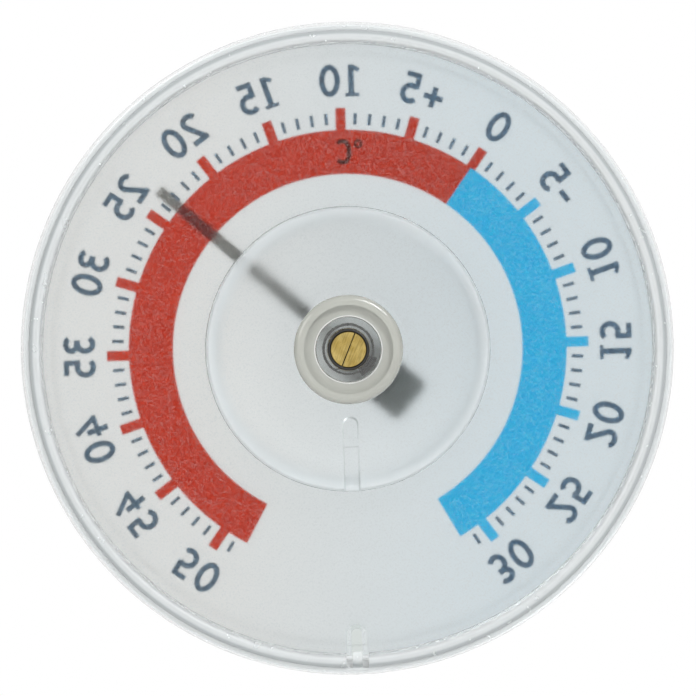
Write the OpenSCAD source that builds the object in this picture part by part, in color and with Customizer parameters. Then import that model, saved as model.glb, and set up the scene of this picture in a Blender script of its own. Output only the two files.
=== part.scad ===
// Round bimetal dial thermometer for a window pane, read through its clear front.
// Millimetres. The dial axis is Y: y = 0 is the front face of the window and +Y points to the back.
// +Z is the top of the dial. Clock angles run clockwise from the top, as the dial is read from the
// front, so 90 is towards +X.

/* [Cover] */
// Outside diameter of the clear front cover
cover_d = 75; // [71:1:90]
// Thickness of the front window
window_t = 1.6; // [1.2:0.1:2.4]
// Radius of the rounded edge round the window
front_edge_r = 0.8; // [0.4:0.1:1.2]
// How much the skirt narrows towards the back, on the radius
skirt_draft = 0.55; // [0.3:0.05:0.8]
// Width of the skirt outside the dial plate
rim_w = 2.4; // [2.2:0.1:3]
// Width of the ledge that the dial plate sits on
ledge_w = 1.1; // [0.8:0.1:1.6]
// How far the snap lip reaches over the edge of the dial plate
lip_w = 0.35; // [0.25:0.05:0.5]
// Height of the snap lip's edge
lip_h = 0.25; // [0.15:0.05:0.4]
// Height of the rim's shoulder above the back of the dial plate
rim_h = 1.5; // [1.2:0.1:2]
// Radius of the round bead along the rim
bead_r = 0.7; // [0.5:0.05:0.8]
// How far the bead reaches in past the edge of the dial plate's seat
bead_in = 0.15; // [0.05:0.05:0.3]
// Width of the key at six o'clock
key_w = 1.1; // [0.8:0.05:1.15]
// How far the key reaches in from the skirt
key_l = 1.15; // [0.6:0.05:1.3]
// Height of the key above the back of the dial plate
key_h = 0.9; // [0.6:0.1:1.2]

/* [Dial plate] */
// Distance from the window to the printed face of the dial plate
dial_gap = 2.85; // [2.6:0.05:4]
// Thickness of the dial plate
plate_t = 1.1; // [0.9:0.05:1.4]
// Radial clearance of the dial plate in the cover
plate_clear = 0.08; // [0.05:0.01:0.15]
// Radius of the raised pan in the middle
pan_r = 16.15; // [14:0.05:18]
// Height of the pan's edge above the back of the plate
pan_rise = 4.2; // [3:0.1:5]
// Thickness of the pan's side wall
pan_wall = 0.6; // [0.5:0.05:1.1]
// How much the pan's side wall spreads towards the plate, on the radius
pan_draft = 0.15; // [0.05:0.05:0.3]
// How far the pan sinks from its edge to the hub
pan_fall = 2.2; // [1.2:0.1:2.6]
// Radius of the rounded edge of the pan
pan_edge_r = 0.4; // [0.2:0.05:0.6]
// Width of the flat ring round the hub housing
hub_land_w = 0.45; // [0.3:0.05:0.8]
// Thickness of the plate under the hub housing
hub_floor_t = 0.55; // [0.4:0.05:0.8]
// Width of the radial groove at six o'clock
groove_w = 1.85; // [1.4:0.05:2.4]
// Depth of the groove
groove_d = 0.35; // [0.2:0.05:0.5]
// How much each side of the groove slopes in towards its floor
groove_draft = 0.18; // [0.05:0.01:0.3]
// Distance from the hub housing to the groove
groove_gap = 1.35; // [0.8:0.05:2]
// Length of the gate mark in the groove
gate_l = 1; // [0.6:0.1:1.6]
// Distance from the start of the groove to the gate mark
gate_gap = 2.5; // [1.5:0.1:4]
// Depth of the gate mark
gate_d = 0.1; // [0.05:0.01:0.15]
// Width of the U-shaped land round the key slot
land_w = 2.3; // [2.2:0.05:3]
// Length of the land, in from the edge of the plate
land_l = 3.6; // [2.8:0.1:4.5]
// Height of the land
land_h = 0.3; // [0.2:0.05:0.5]
// Side clearance of the key in its slot
key_clear = 0.06; // [0.03:0.01:0.12]
// Side clearance of the land in the rim
land_clear = 0.12; // [0.05:0.01:0.2]

/* [Scale] */
// Lowest temperature on the scale, in degrees Celsius
temp_low = -30; // [-40:5:-20]
// Highest temperature on the scale
temp_high = 50; // [40:5:50]
// Temperature at the top of the dial
temp_top = 10; // [5:5:15]
// Temperature at which the red band starts
temp_red = 0; // [-5:5:5]
// Temperature that the pointer shows
temp_shown = 23.4; // [-30:0.1:50]
// Clock degrees for each degree Celsius
turn_per_degree = 3.6; // [3:0.1:3.7]
// How far each band runs on past its last mark, in degrees Celsius
band_overrun = 1.9; // [1:0.1:3]
// Distance from the outer end of the marks for every 5 degrees to the edge of the dial plate
scale_inset = 7.5; // [6.5:0.05:9]
// Width of the colour bands
band_w = 5.05; // [4:0.05:5.5]
// Length of the marks for every 5 degrees
major_l = 2.5; // [2:0.1:3]
// Width of the marks for every 5 degrees
major_w = 1.15; // [0.8:0.05:1.4]
// Gap between the colour bands and the marks for each degree
minor_gap = 0.6; // [0.3:0.05:0.8]
// Length of the marks for each degree
minor_l = 1.3; // [1:0.05:1.6]
// Width of the marks for each degree
minor_w = 0.38; // [0.25:0.01:0.45]
// Thickness of the printed ink
ink_t = 0.05; // [0.03:0.01:0.08]

/* [Hub housing] */
// Outside radius of the housing where it stands on the pan
housing_r = 6.35; // [6:0.05:7]
// Height of the housing above the pan
housing_h = 7.2; // [6.8:0.1:8]
// How much the housing narrows towards the back, on the radius
housing_draft = 0.15; // [0.05:0.05:0.3]
// Radius of the housing's rounded back edge
housing_edge_r = 0.7; // [0.3:0.1:0.8]
// Radius of the round recess in the back
recess_r = 5.05; // [4.8:0.05:5.1]
// Depth of the recess
recess_d = 0.8; // [0.4:0.1:1.2]
// Thickness of the wall that carries the arbor
bearing_t = 1; // [0.8:0.1:1.4]
// Inside radius of the coil chamber
chamber_r = 3.8; // [3.6:0.05:4]
// Width of the sloping edge at the back of the coil chamber
chamber_edge = 0.15; // [0.1:0.05:0.25]
// Wall of the spigot that is let into the dial plate
spigot_wall = 1; // [0.8:0.05:1.2]

/* [Arbor] */
// Radius of the arbor's slotted head
head_r = 1.97; // [1.9:0.01:2.1]
// How far the head stands out of the recess floor
head_out = 0.3; // [0.1:0.05:0.5]
// Radius of the collar inside the coil chamber
collar_r = 2.4; // [2.25:0.05:2.5]
// Thickness of the collar
collar_t = 0.2; // [0.15:0.05:0.3]
// Radius of the arbor inside the coil
neck_r = 1.1; // [1:0.05:1.3]
// Radius of the tip that the pointer turns on
tip_r = 0.7; // [0.6:0.05:0.8]
// Width of the saw slit where it grips the coil
slit_w = 0.22; // [0.2:0.01:0.4]
// Width of the saw slit in the head, where it is pinched
slit_head_w = 0.12; // [0.08:0.01:0.2]
// Clock angle of the saw slit
slit_angle = -23; // [-90:1:90]
// Wall of the friction sleeve
sleeve_wall = 0.36; // [0.3:0.01:0.45]
// Height of the sleeve's rounded lip above the recess floor
sleeve_lip = 0.18; // [0.12:0.01:0.18]
// Radial clearance of each running fit
run_clear = 0.04; // [0.02:0.01:0.06]

/* [Coil] */
// Radius of the coil at the arbor, to the middle of the strip
coil_r = 2.76; // [2.7:0.02:2.85]
// How much the coil widens towards the pointer, on the radius
coil_flare = 0.14; // [0:0.02:0.16]
// Whole turns of the coil, before the part turn that lines up its ends
coil_turns = 4; // [3:1:4]
// Thickness of the bimetal strip
strip_t = 0.16; // [0.1:0.01:0.18]
// Width of the bimetal strip
strip_w = 0.7; // [0.5:0.05:0.75]
// Radius of the bend where the strip turns in to the arbor
bend_r = 0.7; // [0.5:0.05:0.9]
// Clearance of the strip where it is gripped
strip_clear = 0.06; // [0.04:0.01:0.08]

/* [Pointer hub] */
// Radius of the tube that carries the pointer through the dial plate
tube_r = 1.5; // [1.3:0.05:1.7]
// Radial clearance of the tube in the dial plate
tube_clear = 0.25; // [0.15:0.05:0.4]
// Radius of the flange behind the dial plate
flange_r = 2.4; // [2.3:0.05:2.5]
// Thickness of the flange
flange_t = 0.5; // [0.4:0.05:0.6]
// Distance from the dial plate to the flange
flange_gap = 0.3; // [0.2:0.05:0.4]
// Angle that the coil lug spans
lug_span = 46; // [35:1:60]
// Wall of the coil lug on each side of its slot
lug_wall = 0.4; // [0.3:0.05:0.45]
// Thickness of the lug in front of its slot
lug_floor = 0.4; // [0.3:0.05:0.6]
// Outside radius of the washer behind the hub
washer_r = 1.7; // [1.5:0.1:2]
// Thickness of the washer
washer_t = 0.15; // [0.1:0.05:0.2]

/* [Pointer] */
// Distance from the window to the retaining cap
cap_gap = 0.9; // [0.5:0.1:1.2]
// Radius of the retaining cap
cap_r = 1.7; // [1.4:0.1:2.2]
// Thickness of the retaining cap
cap_t = 0.7; // [0.6:0.05:0.9]
// Front wall of the retaining cap
cap_wall = 0.3; // [0.2:0.05:0.35]
// Axial play between the turning pieces
play = 0.05; // [0.03:0.01:0.08]
// Thickness of the pointer's arm and tail
pointer_t = 0.5; // [0.4:0.05:0.7]
// Width of the arm at its tip
arm_tip_w = 1.2; // [0.8:0.05:1.5]
// Width of the arm at the hub
arm_root_w = 1.7; // [1.5:0.05:2.4]
// How far the arm's tip passes the 5 degree marks
arm_over = 0.65; // [0.3:0.05:1]
// Radius of the pointer's ring, which is pressed on the hub's tube
ring_r = 2.2; // [2:0.05:2.6]
// Length of the ring
ring_l = 1.2; // [1:0.1:1.8]
// Width of the tail
tail_w = 5.5; // [4:0.1:6]
// Distance from the dial axis to the end of the tail
tail_l = 9.7; // [8:0.1:11]
// Corner radius of the tail
tail_edge_r = 0.8; // [0.4:0.1:1.2]

/* [Hidden] */

// Smoothness of revolved shapes
$fn = 96;
// Overlap that makes cuts pass cleanly through a face
cut = 0.5;
// Steps of the small arcs in profiles
arc_steps = 6;
// Steps in one turn of the coil
coil_steps = 30;

// Cover and dial plate, from the front face back
cover_r = cover_d / 2;
seat_r = cover_r - rim_w;
plate_r = seat_r - plate_clear;
plate_y = window_t + dial_gap;
plate_back = plate_y + plate_t;
rim_y = plate_back + rim_h;
bead_at = seat_r + bead_r - bead_in;
pan_back = plate_back + pan_rise;
pan_floor = pan_back - pan_fall;
pan_land_r = housing_r + hub_land_w;
pan_slope = atan((pan_back - pan_floor) / (pan_r - pan_land_r));
slot_w = key_w + 2 * key_clear;
slot_l = land_l - (land_w - slot_w) / 2;

// Printed scale
major_step = 5;
minor_step = 1;
major_r = plate_r - scale_inset;
marks_r = major_r - major_l;
band_r = marks_r - band_w;

// Hub housing and arbor, from the front back
spigot_r = chamber_r + spigot_wall;
floor_front = pan_floor - plate_t;
floor_back = floor_front + hub_floor_t;
housing_back = pan_floor + housing_h;
recess_y = housing_back - recess_d;
chamber_back = recess_y - bearing_t;
sleeve_bore = head_r + run_clear;
sleeve_r = sleeve_bore + sleeve_wall;
head_back = recess_y + head_out;
collar_back = chamber_back - play;
collar_front = collar_back - collar_t;
slit_front = collar_front - strip_w - 2 * strip_clear;

// Cap, pointer, hub and washer, from the front back
cap_front = window_t + cap_gap;
cap_back = cap_front + cap_t;
tip_front = cap_front + cap_wall;
arm_front = cap_back + play;
flange_front = floor_back + flange_gap;
flange_back = flange_front + flange_t;
washer_front = flange_back + play;
shoulder = washer_front + washer_t + play;
hub_bore = tip_r + run_clear;
arm_tip_r = major_r + arm_over;
tail_angle = clock(temp_shown) + 180;

// Coil and its lug
lug_slot_r = coil_r + coil_flare - strip_t / 2 - strip_clear;
lug_slot_w = strip_t + 2 * strip_clear;
lug_slot_front = flange_front + lug_floor;
coil_front = lug_slot_front + strip_clear + strip_w / 2;
coil_back = collar_front - strip_clear - strip_w / 2;
lug_back = coil_front + strip_w / 2;
coil_start = plane_angle(tail_angle - lug_span / 2);
bend_turn = acos(-bend_r / (coil_r - bend_r));
coil_end = plane_angle(slit_angle) - bend_turn - 90;
part_turn = coil_end - coil_start - 360 * floor((coil_end - coil_start) / 360);
coil_sweep = 360 * coil_turns + part_turn;

// Clock angle of a temperature
function clock(t) = (t - temp_top) * turn_per_degree;

// Angle from +X towards the back view's -Z, as turned() shapes measure it
function plane_angle(c) = c - 90;

// Points of an arc about [x, y] from angle a to angle b
function arc(x, y, r, a, b, steps = arc_steps) =
    [for (i = [0 : steps]) let(t = a + (b - a) * i / steps) [x + r * cos(t), y + r * sin(t)]];

// Stands a shape up on the dial axis: its Z becomes the depth Y
module turned() {
    rotate([-90, 0, 0]) children();
}

// Revolves a profile of [radius, depth] points about the dial axis
module revolved(angle = 360) {
    turned() rotate_extrude(angle = angle) children();
}

// Turns a shape drawn at the top of the dial to a clock angle
module at_clock(c) {
    rotate([0, c, 0]) children();
}

// Box centred on X, from radius r0 to r1 up the dial and from depth y0 to y1
module radial_bar(w, r0, r1, y0, y1) {
    translate([-w / 2, y0, r0]) cube([w, y1 - y0, r1 - r0]);
}

// Radial slot shape with a round inner end, from radius r0 out to r1
module round_slot(w, r0, r1, y0, y1) {
    translate([0, y0, 0]) turned() linear_extrude(y1 - y0) mirror([0, 1])
        polygon(concat(arc(0, r0 + w / 2, w / 2, -180, 0, 2 * arc_steps),
            [[w / 2, r1], [-w / 2, r1]]));
}

// Ring between two radii and two depths, over part of the dial, clockwise from clock angle c
module ring_sector(r0, r1, y0, y1, c, angle) {
    at_clock(c - 90) revolved(angle) translate([r0, y0]) square([r1 - r0, y1 - y0]);
}

// Clear cup with its window, ledge, snap lip, rim bead and key
module front_cover() {
    color([0.85, 0.9, 0.92, 0.4]) {
        difference() {
            revolved() {
                polygon(concat(
                    [[0, 0]],
                    arc(cover_r - front_edge_r, front_edge_r, front_edge_r, -90, 0),
                    arc(cover_r - skirt_draft - bead_r / 2, rim_y - bead_r / 2, bead_r / 2, 0, 90),
                    [[bead_at - bead_r, rim_y],
                     [seat_r - lip_w, plate_back + play + lip_h],
                     [seat_r - lip_w, plate_back + play],
                     [seat_r, plate_back + play],
                     [seat_r, plate_y],
                     [seat_r - ledge_w, plate_y],
                     [seat_r - ledge_w, window_t],
                     [0, window_t]]));
                translate([bead_at, rim_y]) circle(r = bead_r);
            }
            // The rim is open where the key's land lies
            at_clock(180)
                radial_bar(land_w + 2 * land_clear, seat_r - lip_w - cut, bead_at + bead_r,
                    plate_back + play, rim_y + bead_r + cut);
        }
        at_clock(180) {
            radial_bar(key_w, seat_r - key_l, seat_r, plate_y, plate_back + key_h);
            radial_bar(key_w, seat_r, bead_at + bead_r, plate_back + play, plate_back + key_h);
        }
    }
}

// Radial groove with sloping sides and its gate mark, cut into the pan's sloping face
module groove() {
    start = (housing_r + groove_gap - pan_land_r) / cos(pan_slope);
    end = (pan_r - pan_land_r) / cos(pan_slope) + cut;
    at_clock(180) translate([0, pan_floor, pan_land_r]) rotate([-pan_slope, 0, 0]) difference() {
        hull() {
            round_slot(groove_w - 2 * groove_draft, start + groove_draft, end, -groove_d, 0);
            round_slot(groove_w, start, end, 0, cut);
        }
        radial_bar(groove_w, start + gate_gap, start + gate_gap + gate_l, -groove_d - cut, -gate_d);
    }
}

// Frosted plate with its raised pan, groove, key land and slot
module dial_plate() {
    color([0.8, 0.84, 0.86]) difference() {
        union() {
            revolved()
                polygon(concat(
                    [[tube_r + tube_clear, floor_front], [pan_land_r, floor_front],
                     [pan_r - pan_wall, pan_back - plate_t],
                     [pan_r - pan_wall + pan_draft, plate_y], [plate_r, plate_y],
                     [plate_r, plate_back], [pan_r + pan_draft, plate_back]],
                    arc(pan_r - pan_edge_r, pan_back - pan_edge_r, pan_edge_r, 0, 90),
                    [[pan_land_r, pan_floor], [spigot_r, pan_floor], [spigot_r, floor_back],
                     [tube_r + tube_clear, floor_back]]));
            at_clock(180) intersection() {
                round_slot(land_w, plate_r - land_l, plate_r, plate_y, plate_back + land_h);
                turned() cylinder(r = plate_r, h = pan_back);
            }
        }
        groove();
        at_clock(180)
            round_slot(slot_w, plate_r - slot_l, plate_r + cut, plate_y - cut, pan_back);
    }
}

// One printed band over a range of temperatures, with its 5 degree marks
module band(t0, t1, m0, m1) {
    ring_sector(band_r, marks_r, plate_y - ink_t, plate_y, clock(t0), clock(t1) - clock(t0));
    for (t = [m0 : major_step : m1])
        at_clock(clock(t))
            radial_bar(major_w, marks_r - ink_t, major_r, plate_y - ink_t, plate_y);
}

// Red print, from the start of the red band up
module band_red() {
    color([0.69, 0.29, 0.23]) band(temp_red, temp_high + band_overrun, temp_red, temp_high);
}

// Blue print, below the red band
module band_blue() {
    color([0.28, 0.67, 0.84]) difference() {
        band(temp_low - band_overrun, temp_red, temp_low, temp_red - major_step);
        band(temp_red, temp_red + minor_step, temp_red, temp_red);
    }
}

// Dark print: a mark for each degree between the 5 degree marks, and one past each end
module minor_ticks() {
    color([0.25, 0.33, 0.42])
        for (t = [temp_low - minor_step : minor_step : temp_high + minor_step])
            if (t % major_step != 0)
                at_clock(clock(t))
                    radial_bar(minor_w, marks_r + minor_gap, marks_r + minor_gap + minor_l,
                        plate_y - ink_t, plate_y);
}

// Clear boss that holds the coil and carries the arbor
module hub_housing() {
    top_r = housing_r - housing_draft;
    color([0.76, 0.75, 0.7, 0.7]) revolved() polygon(concat(
        [[chamber_r, floor_back], [spigot_r, floor_back], [spigot_r, pan_floor],
         [housing_r, pan_floor]],
        arc(top_r - housing_edge_r, housing_back - housing_edge_r, housing_edge_r, 0, 90),
        [[recess_r, housing_back], [recess_r, recess_y], [sleeve_r, recess_y],
         [sleeve_r, chamber_back], [chamber_r - chamber_edge, chamber_back],
         [chamber_r, chamber_back - chamber_edge]]));
}

// Dark sleeve that grips the arbor's head, with a rounded lip
module friction_sleeve() {
    color([0.12, 0.12, 0.13]) revolved() {
        translate([sleeve_bore, chamber_back]) square([sleeve_wall, bearing_t]);
        intersection() {
            translate([sleeve_bore + sleeve_wall / 2, recess_y])
                circle(r = sleeve_wall / 2);
            translate([sleeve_bore, recess_y - cut]) square([sleeve_wall, cut + sleeve_lip]);
        }
    }
}

// Brass arbor: slotted head, collar, neck and pointer tip
module calibration_arbor() {
    color([0.72, 0.62, 0.33]) difference() {
        revolved() polygon([[0, tip_front], [tip_r, tip_front], [tip_r, shoulder],
            [neck_r, shoulder], [neck_r, collar_front], [collar_r, collar_front],
            [collar_r, collar_back], [head_r, collar_back], [head_r, head_back],
            [0, head_back]]);
        at_clock(slit_angle) {
            radial_bar(slit_w, -collar_r - cut, collar_r + cut, slit_front, collar_front);
            radial_bar(slit_head_w, -collar_r - cut, collar_r + cut, slit_front, head_back + cut);
        }
    }
}

// Middle of the strip along its way: angle, radius and direction kept as a plane point,
// its outward normal and its depth
function coil_point(s) = let(a = coil_start + coil_sweep * s, r = coil_r + coil_flare * (1 - s))
    [[r * cos(a), r * sin(a)], [cos(a), sin(a)], coil_front + (coil_back - coil_front) * s];

// The bend that leaves the coil and turns in to the dial axis
function bend_point(s) = let(a = coil_end + bend_turn * s)
    [(coil_r - bend_r) * [cos(coil_end), sin(coil_end)] + bend_r * [cos(a), sin(a)],
     [cos(a), sin(a)], coil_back];

// The straight end that lies in the saw slit
function slit_point(d) = let(a = coil_end + bend_turn)
    [d * [-sin(a), cos(a)], [cos(a), sin(a)], coil_back];

// The four corners of the strip at a point of its way
function strip_ring(p) = [for (side = [[-1, -1], [1, -1], [1, 1], [-1, 1]])
    [p[0].x + p[1].x * side.x * strip_t / 2, p[0].y + p[1].y * side.x * strip_t / 2,
     p[2] + side.y * strip_w / 2]];

// Bimetal strip wound in a helix, with its back end bent into the arbor's slit
module bimetal_coil() {
    turns_n = ceil(coil_sweep / 360 * coil_steps);
    bend_n = ceil(coil_steps / 3);
    way = concat(
        [for (i = [0 : turns_n]) coil_point(i / turns_n)],
        [for (i = [1 : bend_n]) bend_point(i / bend_n)],
        [slit_point(-neck_r), slit_point(neck_r / 2)]);
    rings = len(way);
    color([0.35, 0.34, 0.33]) turned() polyhedron(
        points = [for (p = way) each strip_ring(p)],
        faces = concat(
            [[0, 1, 2, 3]],
            [for (i = [0 : rings - 2], k = [0 : 3])
                [4 * i + k, 4 * i + 4 + k, 4 * i + 4 + (k + 1) % 4, 4 * i + (k + 1) % 4]],
            [[4 * rings - 1, 4 * rings - 2, 4 * rings - 3, 4 * rings - 4]]));
}

// Black hub that turns on the arbor: tube, flange and the lug that grips the coil's front end
module pointer_hub() {
    lug_r = lug_slot_r + lug_slot_w + lug_wall;
    lug_angle = tail_angle - lug_span / 2;
    color([0.1, 0.1, 0.11]) difference() {
        union() {
            revolved() polygon([[hub_bore, arm_front], [tube_r, arm_front], [tube_r, flange_front],
                [flange_r, flange_front], [flange_r, flange_back], [hub_bore, flange_back]]);
            ring_sector(tube_r, lug_r, flange_front, lug_slot_front, lug_angle, lug_span);
            ring_sector(lug_slot_r - lug_wall, lug_r, flange_front, lug_back, lug_angle, lug_span);
        }
        ring_sector(lug_slot_r, lug_slot_r + lug_slot_w, lug_slot_front, lug_back + cut,
            tail_angle - lug_span, 2 * lug_span);
    }
}

// Thin washer between the hub's flange and the arbor's shoulder
module pointer_washer() {
    color([0.8, 0.78, 0.7]) revolved()
        translate([hub_bore, washer_front]) square([washer_r - hub_bore, washer_t]);
}

// Black pointer: tapered arm, broad tail and the ring that is pressed on the hub's tube
module pointer() {
    color([0.08, 0.08, 0.09]) difference() {
        union() {
            at_clock(clock(temp_shown)) translate([0, arm_front, 0]) mirror([0, 0, 1]) turned()
                linear_extrude(pointer_t) {
                    polygon([[-arm_root_w / 2, 0], [arm_root_w / 2, 0],
                        [arm_tip_w / 2, arm_tip_r], [-arm_tip_w / 2, arm_tip_r]]);
                    translate([-tail_w / 2, tail_edge_r - tail_l])
                        square([tail_w, tail_l - tail_edge_r]);
                    translate([tail_edge_r - tail_w / 2, -tail_l])
                        square([tail_w - 2 * tail_edge_r, tail_l]);
                    for (side = [-1, 1])
                        translate([side * (tail_w / 2 - tail_edge_r), tail_edge_r - tail_l])
                            circle(r = tail_edge_r);
                }
            revolved() translate([0, arm_front]) square([ring_r, ring_l]);
        }
        revolved() translate([0, arm_front - cut]) square([tube_r, ring_l + 2 * cut]);
    }
}

// Domed cap pressed on the arbor's front tip
module retaining_cap() {
    dome = cap_t / 2;
    color([0.72, 0.62, 0.33]) revolved() polygon(concat(
        [[0, tip_front], [0, cap_front]],
        [for (i = [1 : arc_steps]) let(a = 90 * i / arc_steps)
            [cap_r * sin(a), cap_front + dome * (1 - cos(a))]],
        [[cap_r, cap_back], [tip_r, cap_back], [tip_r, tip_front]]));
}

front_cover();
dial_plate();
band_red();
band_blue();
minor_ticks();
hub_housing();
friction_sleeve();
calibration_arbor();
bimetal_coil();
pointer_hub();
pointer_washer();
pointer();
retaining_cap();
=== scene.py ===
"""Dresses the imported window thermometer: finishes, printed figures, the wound coil and a studio.

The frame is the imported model's, in metres: the dial axis is Y, and +Y points to the back of the
dial, which is the side that the camera sees. Sizes below are in millimetres and times MM.
"""

import math

import bmesh
import bpy
from mathutils import Euler, Matrix, Vector
from mathutils.geometry import delaunay_2d_cdt


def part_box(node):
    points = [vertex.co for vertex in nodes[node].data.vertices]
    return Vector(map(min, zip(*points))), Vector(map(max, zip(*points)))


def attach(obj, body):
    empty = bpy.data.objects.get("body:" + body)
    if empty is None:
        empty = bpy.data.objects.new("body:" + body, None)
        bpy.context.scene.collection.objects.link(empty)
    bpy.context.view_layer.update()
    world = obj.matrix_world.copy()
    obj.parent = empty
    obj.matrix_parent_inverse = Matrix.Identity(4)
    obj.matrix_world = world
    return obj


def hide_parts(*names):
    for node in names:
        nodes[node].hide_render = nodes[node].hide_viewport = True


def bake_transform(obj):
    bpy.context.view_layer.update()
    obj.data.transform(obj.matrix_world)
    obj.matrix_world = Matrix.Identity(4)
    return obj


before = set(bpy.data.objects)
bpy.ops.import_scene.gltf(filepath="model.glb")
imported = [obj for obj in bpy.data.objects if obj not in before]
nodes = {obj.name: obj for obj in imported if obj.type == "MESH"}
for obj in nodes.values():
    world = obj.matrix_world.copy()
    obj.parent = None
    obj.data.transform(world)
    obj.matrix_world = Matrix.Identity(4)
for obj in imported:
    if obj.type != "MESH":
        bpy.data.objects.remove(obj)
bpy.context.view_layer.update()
bpy.context.scene.view_settings.view_transform = "Standard"
MM = 0.001

# The scale: clock angles run clockwise from the top as the dial is read from the front
TEMP_TOP = 10
TEMP_LOW = -30
TEMP_HIGH = 50
FIGURE_STEP = 5
DEGREES_PER_TEMP = 3.6
SIGNED = (-5, 5)

# Printed figures. Strokes and gaps are shares of a figure's height
FIGURE_R = 30.65 * MM
FIGURE_H = 3.7 * MM
FIGURE_STROKE = 0.17
FIGURE_GAP = 0.15
INK_T = 0.04 * MM
INK_LIFT = 0.005 * MM
SIGN_R = 22.5 * MM
SIGN_H = 2.85 * MM
SIGN_STROKE = 0.17
SIGN_GAP = 0.12
SIGN_ASIDE = -0.95 * MM

ACRYLIC_IOR = 1.49

# The frosted plate, of which only the back is rough, and the pan's edge, which looks milky
PLATE_T = 1.1 * MM
PAN_R = 16.15 * MM
PAN_EDGE_START_R = PAN_R - 2.2 * MM
PAN_EDGE_R = PAN_R - 0.9 * MM
PAN_LAND_R = 6.8 * MM
PAN_RISE = 4.2 * MM
PAN_FALL = 2.2 * MM
HUB_FLOOR_T = 0.55 * MM
SPIGOT_R = 4.8 * MM
GRAIN = 0.13 * MM

# The key's polished land and the slot in it, at six o'clock
LAND_R = 31.5 * MM
LAND_W = 2.3 * MM
SLOT_W = 1.22 * MM

# The cover is satin on its skirt and rim. The housing is a thin wall over the coil chamber
RIM_R = 34.5 * MM
RIM_Y = 5.7 * MM
BEAD_R = 36.1 * MM
SKIRT_R = 35.5 * MM
CHAMBER_R = 3.8 * MM

# Clock angle of the saw slit in the arbor's brass head
SLIT_ANGLE = -23

# Half the film of air between pieces that touch, and how near two corners are the same one
AIR_FILM = 0.004 * MM
WELD = 0.001 * MM

# The floor, and where its shadows start and end to fade to white
FLOOR_Z = -0.12
FLOOR_R = 2.5
FADE_START = 0.08
FADE_END = 0.34


# ---------------------------------------------------------------- node helpers

def feed(tree, socket, value):
    """Links an output to a socket, or sets the socket's own value."""
    if isinstance(value, bpy.types.NodeSocket):
        tree.links.new(value, socket)
    else:
        socket.default_value = value


def node(tree, kind, inputs=None, outlet=0, **settings):
    """Adds a node with its settings and inputs, and returns one of its outputs."""
    made = tree.nodes.new(kind)
    for key, value in settings.items():
        setattr(made, key, value)
    for key, value in (inputs or {}).items():
        feed(tree, made.inputs[key], value)
    return made.outputs[outlet]


def maths(tree, operation, a, b=0.0):
    """Sum, product or test of two numbers."""
    return node(tree, "ShaderNodeMath", {0: a, 1: b}, operation=operation)


def vector_maths(tree, operation, a, b=(0, 0, 0)):
    """The same of two vectors or colours."""
    return node(tree, "ShaderNodeVectorMath", {0: a, 1: b}, operation=operation)


def place(tree):
    """The point's place in the piece's own frame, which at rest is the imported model's."""
    return node(tree, "ShaderNodeTexCoord", outlet="Object")


def along(tree, axis):
    """The point's place along X, Y or Z."""
    parts = tree.nodes.new("ShaderNodeSeparateXYZ")
    feed(tree, parts.inputs[0], place(tree))
    return parts.outputs[axis]


def axis_distance(tree):
    """The point's distance from the dial axis."""
    across = vector_maths(tree, "MULTIPLY", place(tree), (1, 0, 1))
    return node(tree, "ShaderNodeVectorMath", {0: across}, outlet="Value", operation="LENGTH")


def at_key(tree, width):
    """1 in a round-ended strip of that width, from the key land's inner end outwards."""
    beside = along(tree, "X")
    inwards = maths(tree, "MAXIMUM", maths(tree, "ADD", along(tree, "Z"), LAND_R + width / 2), 0.0)
    square = maths(tree, "ADD", maths(tree, "MULTIPLY", beside, beside),
                   maths(tree, "MULTIPLY", inwards, inwards))
    return maths(tree, "LESS_THAN", square, (width / 2) ** 2)


def noise(tree, size, detail=2.0, where=None, outlet="Fac"):
    """Noise whose lumps are about size across."""
    return node(tree, "ShaderNodeTexNoise",
                {"Vector": where or place(tree), "Scale": 1 / size, "Detail": detail},
                outlet=outlet)


def spread(tree, value, low, high, start=0.3, end=0.7):
    """Value from start to end becomes low to high."""
    return node(tree, "ShaderNodeMapRange", {"Value": value, "From Min": start, "From Max": end,
                                             "To Min": low, "To Max": high})


def mixed(tree, share, a, b):
    """Colour between a and b."""
    made = tree.nodes.new("ShaderNodeMix")
    made.data_type = "RGBA"
    feed(tree, made.inputs["Factor"], share)
    feed(tree, made.inputs["A"], a if isinstance(a, bpy.types.NodeSocket) else (*a, 1))
    feed(tree, made.inputs["B"], b if isinstance(b, bpy.types.NodeSocket) else (*b, 1))
    return made.outputs["Result"]


def bump(tree, height, depth, normal=None):
    """Normal of a surface with that height, from 0 to 1, over that depth in metres."""
    inputs = {"Height": height, "Strength": 1.0, "Distance": depth}
    if normal is not None:
        inputs["Normal"] = normal
    return node(tree, "ShaderNodeBump", inputs)


def finish(name, **values):
    """A Principled material: (material, tree, shader)."""
    material = bpy.data.materials.new(name)
    material.use_nodes = True
    shader = material.node_tree.nodes["Principled BSDF"]
    for key, value in values.items():
        shader.inputs[key.replace("_", " ")].default_value = value
    return material, material.node_tree, shader


# ---------------------------------------------------------------- materials

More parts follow.
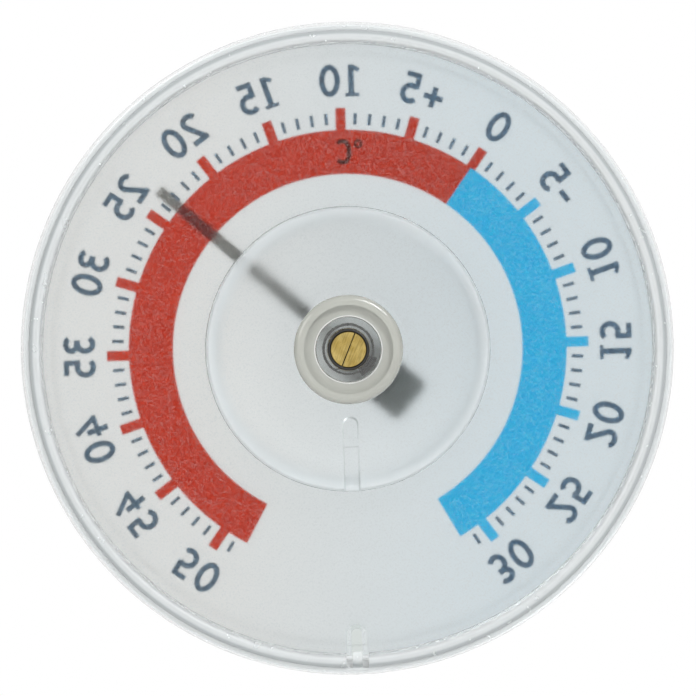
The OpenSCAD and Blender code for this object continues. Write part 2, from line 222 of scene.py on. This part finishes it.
def clear_plastic():
    """Moulded cover: a polished window with faint sink waves and marks, a satin skirt and rim, and
    painted shade over the key's slot and on the rim's bead.
    """
    material, tree, shader = finish("clear_plastic", IOR=ACRYLIC_IOR)
    radius = axis_distance(tree)
    outer = spread(tree, radius, 0, 1, RIM_R, RIM_R + 0.15 * MM)
    behind = spread(tree, along(tree, "Y"), 0, 1, RIM_Y, RIM_Y + 0.3 * MM)
    rim = maths(tree, "MULTIPLY", outer, behind)
    off_bead = maths(tree, "ABSOLUTE", maths(tree, "SUBTRACT", radius, BEAD_R))
    bead = spread(tree, off_bead, 1, 0, 0.1 * MM, 0.5 * MM)
    skirt = spread(tree, radius, 0, 1, SKIRT_R, SKIRT_R + 0.2 * MM)
    satin = maths(tree, "MAXIMUM", rim, skirt)
    milk = maths(tree, "MULTIPLY", satin, spread(tree, bead, 0.4, 0.7, 0, 1))
    feed(tree, shader.inputs["Transmission Weight"], maths(tree, "SUBTRACT", 1.0, milk))
    cloud = noise(tree, 18 * MM)
    window_tint_and_slot_shade = mixed(tree, cloud, (0.735, 0.765, 0.775), (0.76, 0.785, 0.79))
    # Painted shade: the window is darker over the key's slot, so that the light seen through the slot
    # is grey
    window_tint_and_slot_shade = mixed(tree, at_key(tree, SLOT_W), window_tint_and_slot_shade, (0.65, 0.695, 0.68))
    tint = mixed(tree, skirt, window_tint_and_slot_shade, (0.86, 0.875, 0.875))
    # Painted shade: the rim's bead is tinted far darker, to damp the light that it reflects and bends
    # from the studio
    rim_tint_and_bead_shade = mixed(tree, bead, (0.78, 0.81, 0.815), (0.36, 0.385, 0.39))
    feed(tree, shader.inputs["Base Color"], mixed(tree, rim, tint, rim_tint_and_bead_shade))
    feed(tree, shader.inputs["Specular Tint"], mixed(tree, satin, (1, 1, 1), (0.2, 0.2, 0.2)))
    marks = spread(tree, noise(tree, 1.2 * MM, 5.0), 0.02, 0.09, 0.45, 0.75)
    haze = maths(tree, "MULTIPLY", satin, 0.2)
    feed(tree, shader.inputs["Roughness"], maths(tree, "ADD", marks, haze))
    feed(tree, shader.inputs["Normal"], bump(tree, noise(tree, 7 * MM, 1.0), 0.02 * MM))
    return material


def frosted_plastic():
    """Plate that is smooth in front and frosted at the back, except on the key's land."""
    material, tree, shader = finish("frosted_plastic", IOR=ACRYLIC_IOR,
                                    Specular_Tint=(0.2, 0.2, 0.2, 1))
    radius = axis_distance(tree)
    back = is_back_of_plate(tree)

    # The grains of the back, the pan's thick edge and the floor under the coil are milky
    hub_floor = maths(tree, "LESS_THAN", radius, SPIGOT_R)
    pan_edge = maths(tree, "MULTIPLY",
                     spread(tree, radius, 0, 1, PAN_EDGE_START_R, PAN_EDGE_R),
                     maths(tree, "LESS_THAN", radius, PAN_R + 0.05 * MM))
    glint = maths(tree, "MULTIPLY", maths(tree, "POWER", grains(tree), 3.0), back)
    milky = maths(tree, "MAXIMUM", maths(tree, "MULTIPLY", glint, 0.11),
                  maths(tree, "MAXIMUM", maths(tree, "MULTIPLY", pan_edge, 0.32),
                        maths(tree, "MULTIPLY", hub_floor, 0.2)))
    feed(tree, shader.inputs["Transmission Weight"], maths(tree, "SUBTRACT", 1.0, milky))
    frosted = maths(tree, "MULTIPLY", back, spread(tree, at_key(tree, LAND_W), 1.0, 0.1, 0, 1))
    rough = spread(tree, frosted, 0.1, 0.5, 0, 1)
    feed(tree, shader.inputs["Roughness"],
         maths(tree, "MAXIMUM", rough, maths(tree, "MULTIPLY", hub_floor, 0.7)))

    # Painted light and shade: cooler to one side and warmer to the other, as the lamps fall, and the
    # pan darker towards the top and towards -X, where its slope faces away from the key lamp
    across = spread(tree, along(tree, "X"), 0, 1, -16 * MM, 16 * MM)
    tint = mixed(tree, across, (0.855, 0.92, 0.95), (0.955, 0.94, 0.915))
    tint = mixed(tree, glint, tint, (0.80, 0.82, 0.82))
    tint = mixed(tree, pan_edge, tint, (0.86, 0.90, 0.91))
    slant = maths(tree, "SUBTRACT", maths(tree, "MULTIPLY", along(tree, "Z"), 0.8),
                  maths(tree, "MULTIPLY", along(tree, "X"), 0.55))
    painted_pan_shade = spread(tree, slant, 1.04, 0.93, -12 * MM, 12 * MM)
    in_pan = maths(tree, "LESS_THAN", radius, PAN_R)
    painted_pan_shade = node(tree, "ShaderNodeMix", {"Factor": in_pan, "A": 1.0, "B": painted_pan_shade})
    feed(tree, shader.inputs["Base Color"], vector_maths(tree, "MULTIPLY", tint, painted_pan_shade))
    return material


def grains(tree):
    """A number from 0 to 1 for each small grain."""
    colour = node(tree, "ShaderNodeTexVoronoi", {"Vector": place(tree), "Scale": 1 / GRAIN},
                  outlet="Color")
    return node(tree, "ShaderNodeSeparateColor", {0: colour})


def is_back_of_plate(tree):
    """1 behind the middle of the plate's thickness, and 0 in front of it."""
    plate_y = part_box("dial_plate")[0].y
    radius = axis_distance(tree)
    pan_y = plate_y + PAN_RISE + PLATE_T / 2
    slope = spread(tree, radius, pan_y - PAN_FALL, pan_y, PAN_LAND_R, PAN_R)
    sunk = spread(tree, maths(tree, "LESS_THAN", radius, SPIGOT_R), 0, HUB_FLOOR_T / 2, 0, 1)
    outside = maths(tree, "GREATER_THAN", radius, PAN_R - PLATE_T / 2)
    inner_y = maths(tree, "SUBTRACT", slope, sunk)
    outer_y = plate_y + PLATE_T / 2
    middle = node(tree, "ShaderNodeMix", {"Factor": outside, "A": inner_y, "B": outer_y})
    return maths(tree, "GREATER_THAN", along(tree, "Y"), middle)


def ink(name, colour, speck_colour, through):
    """Screen print with a little grain, which lets that share of the light through."""
    material, tree, shader = finish(name, Transmission_Weight=through, IOR=1.1, Roughness=0.6)
    grain = noise(tree, 0.14 * MM, 3.0)
    feed(tree, shader.inputs["Base Color"],
         mixed(tree, spread(tree, grain, 0, 1, 0.4, 0.62), colour, speck_colour))
    feed(tree, shader.inputs["Normal"], bump(tree, grain, 0.01 * MM))
    return material


def natural_plastic():
    """Glossy housing: milky where its wall is deep, and clear where it is thin over the coil, with a
    painted highlight at the chamber's edge.
    """
    material, tree, shader = finish("natural_plastic", IOR=ACRYLIC_IOR, Coat_Roughness=0.03)
    radius = axis_distance(tree)
    solid = spread(tree, radius, 0, 1, CHAMBER_R - 0.1 * MM, CHAMBER_R + 0.2 * MM)
    # Painted highlight: a thin ring at the chamber's edge is made near white and less clear
    off_edge = maths(tree, "ABSOLUTE", maths(tree, "SUBTRACT", radius, CHAMBER_R))
    edge = spread(tree, off_edge, 1, 0, 0.03 * MM, 0.09 * MM)
    feed(tree, shader.inputs["Coat Weight"], solid)
    feed(tree, shader.inputs["Transmission Weight"],
         maths(tree, "SUBTRACT", spread(tree, solid, 0.98, 0.35, 0, 1),
               maths(tree, "MULTIPLY", edge, 0.3)))
    cloud = mixed(tree, noise(tree, 2.5 * MM, 3.0), (0.455, 0.465, 0.42), (0.51, 0.515, 0.465))
    tint = mixed(tree, solid, (0.94, 0.95, 0.93), cloud)
    feed(tree, shader.inputs["Base Color"], mixed(tree, edge, tint, (0.95, 0.95, 0.92)))
    haze = spread(tree, solid, 0.04, 0.06, 0, 1)
    feed(tree, shader.inputs["Roughness"],
         maths(tree, "ADD", haze, spread(tree, noise(tree, 0.6 * MM, 4.0), -0.03, 0.05)))
    feed(tree, shader.inputs["Normal"], bump(tree, noise(tree, 0.8 * MM, 2.0), 0.01 * MM))
    return material


def black_rubber():
    """Dark, slightly shiny sleeve that grips the arbor."""
    material, tree, shader = finish("black_rubber", IOR=1.5)
    feed(tree, shader.inputs["Base Color"],
         mixed(tree, noise(tree, 0.3 * MM), (0.006, 0.006, 0.006), (0.014, 0.014, 0.014)))
    feed(tree, shader.inputs["Roughness"], spread(tree, noise(tree, 0.2 * MM), 0.28, 0.5))
    return material


def brass():
    """Turned and sawn brass, with fine scratches along the saw's way and a little tarnish."""
    material, tree, shader = finish("brass", Metallic=1.0)
    stretched = node(tree, "ShaderNodeMapping",
                     {"Vector": place(tree), "Rotation": Euler((0, math.radians(SLIT_ANGLE), 0)),
                      "Scale": (1, 7, 8)}, vector_type="TEXTURE")
    scratch = noise(tree, 0.16 * MM, 4.0, stretched)
    tarnish = spread(tree, noise(tree, 1.6 * MM, 4.0), 0, 1, 0.35, 0.65)
    worn = mixed(tree, tarnish, (0.42, 0.30, 0.085), (0.56, 0.43, 0.16))
    dark = spread(tree, scratch, 0.75, 1.1, 0.35, 0.6)
    feed(tree, shader.inputs["Base Color"], vector_maths(tree, "MULTIPLY", worn, dark))
    feed(tree, shader.inputs["Roughness"], spread(tree, scratch, 0.4, 0.26))
    feed(tree, shader.inputs["Normal"], bump(tree, scratch, 0.02 * MM))
    return material


def bimetal():
    """Rolled strip, dark grey with rolling lines along it."""
    material, tree, shader = finish("bimetal", Metallic=1.0)
    lines = node(tree, "ShaderNodeMapping", {"Vector": place(tree), "Scale": (0.2, 4, 0.2)})
    rolled = noise(tree, 0.15 * MM, 3.0, lines)
    feed(tree, shader.inputs["Base Color"],
         mixed(tree, rolled, (0.015, 0.015, 0.015), (0.05, 0.05, 0.048)))
    feed(tree, shader.inputs["Roughness"], spread(tree, rolled, 0.25, 0.45))
    return material


def black_plastic(name, colour, worn_colour):
    """Satin mouldings of the pointer, in the colours given. The pointer's copy is lightened to grey,
    which is painted light.
    """
    material, tree, shader = finish(name, IOR=1.5)
    mottle = noise(tree, 0.35 * MM, 3.0)
    feed(tree, shader.inputs["Base Color"], mixed(tree, mottle, colour, worn_colour))
    feed(tree, shader.inputs["Roughness"], spread(tree, mottle, 0.38, 0.55))
    feed(tree, shader.inputs["Normal"], bump(tree, mottle, 0.008 * MM))
    return material


def nylon():
    """Cream bearing washer."""
    material, tree, shader = finish("nylon", IOR=1.53, Transmission_Weight=0.15)
    cloud = noise(tree, 0.5 * MM)
    feed(tree, shader.inputs["Base Color"],
         mixed(tree, cloud, (0.74, 0.71, 0.62), (0.82, 0.80, 0.72)))
    feed(tree, shader.inputs["Roughness"], spread(tree, cloud, 0.4, 0.6))
    return material


# ---------------------------------------------------------------- printed figures

def arc(x, y, rx, ry, start, end, steps=12):
    """Points of an oval arc from angle start to end, in degrees."""
    angles = [math.radians(start + (end - start) * i / steps) for i in range(steps + 1)]
    return [Vector((x + rx * math.cos(a), y + ry * math.sin(a))) for a in angles]


def line(*points):
    """Points of a straight stroke."""
    return [Vector(p) for p in points]


# Strokes of each glyph, 1 high, as (centreline, width in strokes, closed), and the glyph's width
GLYPHS = {
    "0": ([(arc(0.325, 0.5, 0.24, 0.415, 0, 360, 36), 1, True)], 0.65),
    "1": ([(line((0.27, 0.02), (0.27, 0.98)), 1.05, False),
           (line((0.02, 0.81), (0.25, 0.93)), 0.75, False),
           (line((0.03, 0.055), (0.46, 0.055)), 0.65, False)], 0.46),
    "2": ([(arc(0.26, 0.735, 0.21, 0.18, 165, -32, 18) + line((0.11, 0.09)), 1, False),
           (line((0.02, 0.085), (0.56, 0.085)), 1, False)], 0.56),
    "3": ([(arc(0.25, 0.745, 0.205, 0.17, 150, -90, 18) + line((0.13, 0.575)), 1, False),
           (line((0.13, 0.565), (0.25, 0.555)) + arc(0.25, 0.32, 0.215, 0.235, 78, -145, 18),
            1, False)], 0.55),
    "4": ([(line((0.43, 0.99), (0.075, 0.33)), 0.9, False),
           (line((0.0, 0.335), (0.66, 0.335)), 0.9, False),
           (line((0.47, 0.0), (0.47, 0.67)), 1, False)], 0.66),
    "5": ([(line((0.07, 0.915), (0.52, 0.915)), 0.95, False),
           (line((0.135, 0.98), (0.115, 0.50)), 0.95, False),
           (line((0.115, 0.545)) + arc(0.27, 0.33, 0.235, 0.245, 105, -140, 18), 1, False)], 0.59),
    "+": ([(line((0.0, 0.40), (0.6, 0.40)), 1, False),
           (line((0.3, 0.08), (0.3, 0.72)), 1, False)], 0.6),
    "-": ([(line((0.0, 0.40), (0.4, 0.40)), 1, False)], 0.4),
    "C": ([(arc(0.33, 0.66, 0.25, 0.265, 40, 180) + arc(0.33, 0.34, 0.25, 0.265, 180, 320),
            1, False)], 0.55),
    "o": ([(arc(0.18, 0.80, 0.12, 0.14, 0, 360, 24), 0.55, True)], 0.36),
}


def stroke_quads(points, width, closed):
    """One four-sided outline for each stretch of a stroke, with mitred joins between them."""
    if closed:
        points = points[:-1]
    count = len(points)
    sides = []
    for i, point in enumerate(points):
        before = points[i - 1] if closed or i > 0 else None
        after = points[(i + 1) % count] if closed or i < count - 1 else None
        ways = [(b - a).normalized() for a, b in ((before, point), (point, after))
                if a is not None and b is not None and (b - a).length > 1e-6]
        way = sum(ways, Vector((0, 0))).normalized()
        across = Vector((-way.y, way.x))
        mitre = min(1 / max(abs(way.dot(ways[0])), 0.1), 1.6)
        sides.append((point + across * width / 2 * mitre, point - across * width / 2 * mitre))
    last = count if closed else count - 1
    return [(sides[i][0], sides[i][1], sides[(i + 1) % count][1], sides[(i + 1) % count][0])
            for i in range(last)]


def label_quads(text, height, stroke, gap):
    """Outlines of a label, centred, with X to the right and Y up as it is read."""
    total = sum(GLYPHS[c][1] for c in text) + gap * (len(text) - 1)
    quads = []
    x = -total / 2
    for c in text:
        strokes, width = GLYPHS[c]
        for points, share, closed in strokes:
            for quad in stroke_quads(points, stroke * share, closed):
                quads.append([Vector((p.x + x, p.y - 0.5)) * height for p in quad])
        x += width + gap
    return quads


def print_label(mesh, text, clock, radius, aside, height, stroke, gap):
    """Adds a label to a bmesh as a thin closed layer on the front of the dial plate."""
    quads = label_quads(text, height / MM, stroke, gap)
    corners = [p for quad in quads for p in quad]
    faces = [list(range(4 * i, 4 * i + 4)) for i in range(len(quads))]
    points, _, triangles, _, _, inside = delaunay_2d_cdt(corners, [], faces, 1, 1e-5)
    triangles = [list(t) for t, strokes in zip(triangles, inside) if strokes]
    turn = math.radians(clock)
    right = Vector((math.cos(turn), 0, -math.sin(turn)))
    out = Vector((math.sin(turn), 0, math.cos(turn)))
    back_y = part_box("dial_plate")[0].y - INK_LIFT

    def corner(p, y):
        return right * (p.x * MM + aside) + out * (radius + p.y * MM) + Vector((0, y, 0))

    front = [mesh.verts.new(corner(p, back_y - INK_T)) for p in points]
    back = [mesh.verts.new(corner(p, back_y)) for p in points]
    for triangle in triangles:
        mesh.faces.new([front[i] for i in triangle])
        mesh.faces.new([back[i] for i in reversed(triangle)])
    edges = [edge for t in triangles for edge in zip(t, t[1:] + t[:1])]
    shared = set(edges)
    for a, b in edges:
        if (b, a) not in shared:
            mesh.faces.new([front[b], front[a], back[a], back[b]])


def printed_piece(name, material, labels):
    """A printed layer made of labels, each (text, clock, radius, aside, height, stroke, gap)."""
    mesh = bmesh.new()
    for label in labels:
        print_label(mesh, *label)
    bmesh.ops.delete(mesh, geom=[v for v in mesh.verts if not v.link_faces], context="VERTS")
    bmesh.ops.recalc_face_normals(mesh, faces=mesh.faces)
    data = bpy.data.meshes.new(name)
    mesh.to_mesh(data)
    mesh.free()
    data.materials.append(material)
    piece = bpy.data.objects.new(name, data)
    bpy.context.scene.collection.objects.link(piece)
    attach(piece, "case")
    return piece


def figure_text(temp):
    """The figure for a temperature. Only the pair beside 0 is printed with its sign."""
    sign = ("+" if temp > 0 else "-") if temp in SIGNED else ""
    return sign + str(abs(temp))


# ---------------------------------------------------------------- coil

def wound_coil(material):
    """The coil as a piece of its own, a welded copy of the CAD coil, which it hides."""
    source = nodes["bimetal_coil"]
    piece = bpy.data.objects.new("coil_strip", source.data.copy())
    bpy.context.scene.collection.objects.link(piece)
    mesh = bmesh.new()
    mesh.from_mesh(piece.data)
    bmesh.ops.remove_doubles(mesh, verts=mesh.verts, dist=WELD)
    mesh.to_mesh(piece.data)
    mesh.free()
    piece.data.materials.clear()
    piece.data.materials.append(material)
    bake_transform(piece)
    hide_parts("bimetal_coil")


# ---------------------------------------------------------------- studio

def lit_world():
    """White to the camera. What the object sees is bright before and behind it, grey at its sides."""
    world = bpy.data.worlds.new("studio")
    bpy.context.scene.world = world
    world.use_nodes = True
    tree = world.node_tree
    parts = tree.nodes.new("ShaderNodeSeparateXYZ")
    feed(tree, parts.inputs[0], node(tree, "ShaderNodeTexCoord", outlet="Generated"))
    axial = maths(tree, "ABSOLUTE", parts.outputs["Y"])
    level = node(tree, "ShaderNodeMapRange", {"Value": axial, "From Min": 0.25, "From Max": 0.92,
                                              "To Min": 0.5, "To Max": 1.0},
                 interpolation_type="SMOOTHSTEP")
    top = spread(tree, parts.outputs["Z"], 0.0, 0.35, 0.2, 0.9)
    level = maths(tree, "MINIMUM", maths(tree, "ADD", level, top), 1.0)
    seen = node(tree, "ShaderNodeLightPath", outlet="Is Camera Ray")
    feed(tree, tree.nodes["Background"].inputs["Color"], mixed(tree, seen, level, (1, 1, 1)))


def lamp(name, spot, size, power, colour, size_up=None, roll=0):
    """Oval area light at a spot in metres, aimed at the dial and rolled by degrees."""
    data = bpy.data.lights.new(name, "AREA")
    data.shape = "ELLIPSE"
    data.size = size
    data.size_y = size_up or size
    data.energy = power
    data.color = colour
    made = bpy.data.objects.new(name, data)
    made.location = spot
    aim = (-Vector(spot)).to_track_quat("-Z", "Y").to_matrix()
    made.rotation_euler = (aim @ Matrix.Rotation(math.radians(roll), 3, "Z")).to_euler()
    bpy.context.scene.collection.objects.link(made)


def pale_floor():
    """Round floor that keeps the shadow near the object and fades to the background's white."""
    data = bpy.data.meshes.new("floor")
    mesh = bmesh.new()
    bmesh.ops.create_circle(mesh, cap_ends=True, segments=96, radius=FLOOR_R)
    mesh.to_mesh(data)
    mesh.free()
    floor = bpy.data.objects.new("floor", data)
    floor.location = (0, 0, FLOOR_Z)
    bpy.context.scene.collection.objects.link(floor)
    material, tree, shader = finish("pale_floor", Base_Color=(0.86, 0.86, 0.86, 1), Roughness=0.7)
    data.materials.append(material)
    away = node(tree, "ShaderNodeVectorMath", {0: place(tree)}, outlet="Value", operation="LENGTH")
    fade = node(tree, "ShaderNodeMapRange",
                {"Value": away, "From Min": FADE_START, "From Max": FADE_END},
                interpolation_type="SMOOTHSTEP")
    path = tree.nodes.new("ShaderNodeLightPath")
    seen = maths(tree, "MAXIMUM", path.outputs["Is Camera Ray"],
                 maths(tree, "MAXIMUM", path.outputs["Is Glossy Ray"],
                       path.outputs["Is Transmission Ray"]))
    white = node(tree, "ShaderNodeEmission", {"Color": (1, 1, 1, 1)})
    mix = node(tree, "ShaderNodeMixShader",
               {0: maths(tree, "MULTIPLY", fade, seen), 1: shader.outputs[0], 2: white})
    feed(tree, tree.nodes["Material Output"].inputs["Surface"], mix)


def main_camera(azimuth, elevation, roll, distance, view_w, aside, up):
    """Camera square to the back of the dial. view_w is what it sees across at the dial."""
    data = bpy.data.cameras.new("camera")
    data.sensor_width = 36
    data.lens = data.sensor_width * distance / view_w
    data.clip_start = 0.01
    camera = bpy.data.objects.new("camera", data)
    bpy.context.scene.collection.objects.link(camera)
    bpy.context.scene.camera = camera
    a = math.radians(azimuth)
    e = math.radians(elevation)
    back = Vector((math.sin(a) * math.cos(e), -math.cos(a) * math.cos(e), math.sin(e)))
    turn = back.to_track_quat("Z", "Y").to_matrix() @ Matrix.Rotation(math.radians(roll), 3, "Z")
    target = turn @ Vector((aside, up, 0))
    camera.matrix_world = Matrix.Translation(target + back * distance) @ turn.to_4x4()


# ---------------------------------------------------------------- the thermometer

def dress(name, material):
    """Gives a CAD node its finish, and the film of air that lies between pieces that touch."""
    data = nodes[name].data
    data.materials.clear()
    data.materials.append(material)
    weld = nodes[name].modifiers.new("weld", "WELD")
    weld.merge_threshold = WELD
    film = nodes[name].modifiers.new("film", "DISPLACE")
    film.mid_level = 0
    film.strength = -AIR_FILM


dark_ink = ink("dark_ink", (0.035, 0.09, 0.17), (0.16, 0.29, 0.40), 0.3)
brass_metal = brass()
for name, material in {
    "front_cover": clear_plastic(),
    "dial_plate": frosted_plastic(),
    "band_red": ink("red_ink", (0.52, 0.016, 0.002), (0.88, 0.06, 0.008), 0.95),
    "band_blue": ink("blue_ink", (0.004, 0.49, 0.96), (0.05, 0.74, 1.0), 0.97),
    "minor_ticks": dark_ink,
    "hub_housing": natural_plastic(),
    "friction_sleeve": black_rubber(),
    "calibration_arbor": brass_metal,
    # Two copies of one black plastic: the hub keeps a near black, and the pointer is painted a light
    # grey, which is painted light
    "pointer_hub": black_plastic("hub_black", (0.015, 0.015, 0.015), (0.035, 0.035, 0.035)),
    "pointer": black_plastic("pointer_painted_light", (0.17, 0.18, 0.17), (0.22, 0.23, 0.22)),
    "pointer_washer": nylon(),
    "retaining_cap": brass_metal,
}.items():
    dress(name, material)
wound_coil(bimetal())

printed_piece("scale_figures", dark_ink, [
    (figure_text(t), (t - TEMP_TOP) * DEGREES_PER_TEMP, FIGURE_R, 0, FIGURE_H, FIGURE_STROKE,
     FIGURE_GAP)
    for t in range(TEMP_LOW, TEMP_HIGH + 1, FIGURE_STEP)])
printed_piece("degree_sign", dark_ink,
              [("oC", 0, SIGN_R, SIGN_ASIDE, SIGN_H, SIGN_STROKE, SIGN_GAP)])

lit_world()
lamp("key", spot=(-0.32, 0.55, 0.50), size=0.45, power=3.2, colour=(0.97, 0.98, 1.0),
     size_up=0.12, roll=-28)
lamp("fill", spot=(0.50, 0.50, 0.28), size=0.35, power=0.9, colour=(1.0, 0.99, 0.96))
lamp("front", spot=(0.35, -0.55, 0.45), size=0.35, power=0.9, colour=(1, 1, 1))
pale_floor()
main_camera(azimuth=179.5, elevation=0.6, roll=-1.8, distance=0.8, view_w=80.0 * MM,
            aside=0.07 * MM, up=0.03 * MM)
